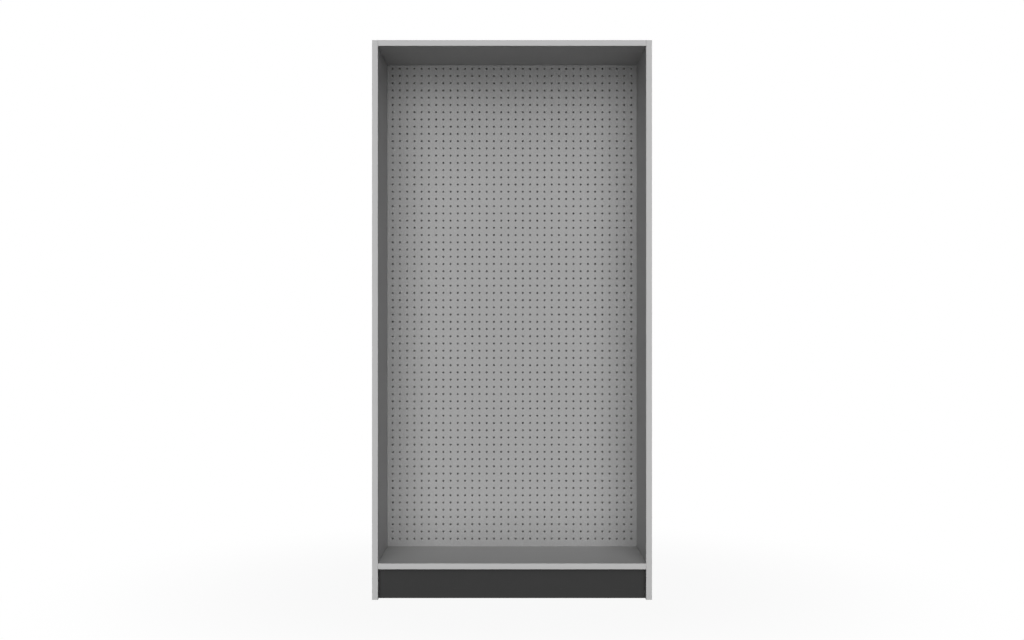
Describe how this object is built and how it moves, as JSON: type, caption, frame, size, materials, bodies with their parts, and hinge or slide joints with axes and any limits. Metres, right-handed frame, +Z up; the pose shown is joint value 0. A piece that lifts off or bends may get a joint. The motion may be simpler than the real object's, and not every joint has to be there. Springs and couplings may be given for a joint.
{
  "type": "gondola shelving unit",
  "caption": "Full-height laminated board gondola bay with a pegboard back, base deck, recessed kickplate and levelling feet, open at the front.",
  "frame": {"origin": "on the floor, under the centre of the unit's width and depth", "axes": "+Z up; -Y towards the shopper, the open front; +X to the shopper's right"},
  "size_m": [0.9144, 0.4064, 1.8288],
  "materials": {
    "laminate": "light grey melamine, fine suede texture",
    "edge_band": "light grey PVC edge band",
    "pegboard": "grey painted hardboard",
    "dark_laminate": "charcoal laminate",
    "raw_wood": "bare softwood and beech",
    "zinc_steel": "bright zinc plate",
    "grey_plastic": "grey moulded plastic",
    "black_plastic": "black nylon"
  },
  "bodies": {
    "frame": {"top_panel": "laminate", "base_deck": "laminate", "rear_base_rail": "laminate", "base_centre_support": "laminate", "rear_cover_panel": "laminate", "side_panel_left": "laminate", "side_panel_right": "laminate", "edge_band_top": "edge_band", "edge_band_deck": "edge_band", "edge_band_side_left": "edge_band", "edge_band_side_right": "edge_band", "pegboard_panel": "pegboard", "back_batten_lower": "raw_wood", "back_batten_upper": "raw_wood", "dowel_top_left": "raw_wood", "dowel_top_right": "raw_wood", "dowel_deck_left": "raw_wood", "dowel_deck_right": "raw_wood", "dowel_rear_rail_left": "raw_wood", "dowel_rear_rail_right": "raw_wood", "cam_top_left_front": "zinc_steel", "cam_top_left_rear": "zinc_steel", "cam_top_right_front": "zinc_steel", "cam_top_right_rear": "zinc_steel", "cam_deck_left_front": "zinc_steel", "cam_deck_left_rear": "zinc_steel", "cam_deck_right_front": "zinc_steel", "cam_deck_right_rear": "zinc_steel", "cam_bolt_top_left_front": "zinc_steel", "cam_bolt_top_left_rear": "zinc_steel", "cam_bolt_top_right_front": "zinc_steel", "cam_bolt_top_right_rear": "zinc_steel", "cam_bolt_deck_left_front": "zinc_steel", "cam_bolt_deck_left_rear": "zinc_steel", "cam_bolt_deck_right_front": "zinc_steel", "cam_bolt_deck_right_rear": "zinc_steel", "foot_bracket_front_left": "zinc_steel", "foot_bracket_front_right": "zinc_steel", "foot_bracket_rear_left": "zinc_steel", "foot_bracket_rear_right": "zinc_steel", "cam_cap_left_front": "grey_plastic", "cam_cap_left_rear": "grey_plastic", "cam_cap_right_front": "grey_plastic", "cam_cap_right_rear": "grey_plastic", "kick_clip_socket_left": "black_plastic", "kick_clip_socket_right": "black_plastic"},
    "foot_pad_front_left": {"foot_pad_front_left": "black_plastic"},
    "foot_stem_front_left": {"foot_stem_front_left": "zinc_steel"},
    "foot_pad_front_right": {"foot_pad_front_right": "black_plastic"},
    "foot_stem_front_right": {"foot_stem_front_right": "zinc_steel"},
    "foot_pad_rear_left": {"foot_pad_rear_left": "black_plastic"},
    "foot_stem_rear_left": {"foot_stem_rear_left": "zinc_steel"},
    "foot_pad_rear_right": {"foot_pad_rear_right": "black_plastic"},
    "foot_stem_rear_right": {"foot_stem_rear_right": "zinc_steel"},
    "kickplate": {"kickplate": "dark_laminate", "kick_clip_stud_left": "black_plastic", "kick_clip_stud_right": "black_plastic"}
  },
  "joints": [
    {"name": "foot_front_left_drop", "type": "slide", "parent": "frame", "child": "foot_pad_front_left", "axis": [0, 0, -1], "range_m": [0, 0.02]},
    {"name": "foot_front_left_screw", "type": "hinge", "parent": "foot_pad_front_left", "child": "foot_stem_front_left", "pos_m": [-0.41415, -0.09875, 0.03], "axis": [0, 0, -1], "range_deg": [0, 4800]},
    {"name": "foot_front_right_drop", "type": "slide", "parent": "frame", "child": "foot_pad_front_right", "axis": [0, 0, -1], "range_m": [0, 0.02]},
    {"name": "foot_front_right_screw", "type": "hinge", "parent": "foot_pad_front_right", "child": "foot_stem_front_right", "pos_m": [0.41415, -0.09875, 0.03], "axis": [0, 0, -1], "range_deg": [0, 4800]},
    {"name": "foot_rear_left_drop", "type": "slide", "parent": "frame", "child": "foot_pad_rear_left", "axis": [0, 0, -1], "range_m": [0, 0.02]},
    {"name": "foot_rear_left_screw", "type": "hinge", "parent": "foot_pad_rear_left", "child": "foot_stem_rear_left", "pos_m": [-0.41415, 0.1328, 0.03], "axis": [0, 0, -1], "range_deg": [0, 4800]},
    {"name": "foot_rear_right_drop", "type": "slide", "parent": "frame", "child": "foot_pad_rear_right", "axis": [0, 0, -1], "range_m": [0, 0.02]},
    {"name": "foot_rear_right_screw", "type": "hinge", "parent": "foot_pad_rear_right", "child": "foot_stem_rear_right", "pos_m": [0.41415, 0.1328, 0.03], "axis": [0, 0, -1], "range_deg": [0, 4800]},
    {"name": "kickplate_pull_off", "type": "slide", "parent": "frame", "child": "kickplate", "axis": [0, -1, 0], "range_m": [0, 0.06]}
  ],
  "couplings": [
    {"joint": "foot_front_left_screw", "follows": "foot_front_left_drop", "rad_per_m": 4188.8},
    {"joint": "foot_front_right_screw", "follows": "foot_front_right_drop", "rad_per_m": 4188.8},
    {"joint": "foot_rear_left_screw", "follows": "foot_rear_left_drop", "rad_per_m": 4188.8},
    {"joint": "foot_rear_right_screw", "follows": "foot_rear_right_drop", "rad_per_m": 4188.8}
  ]
}
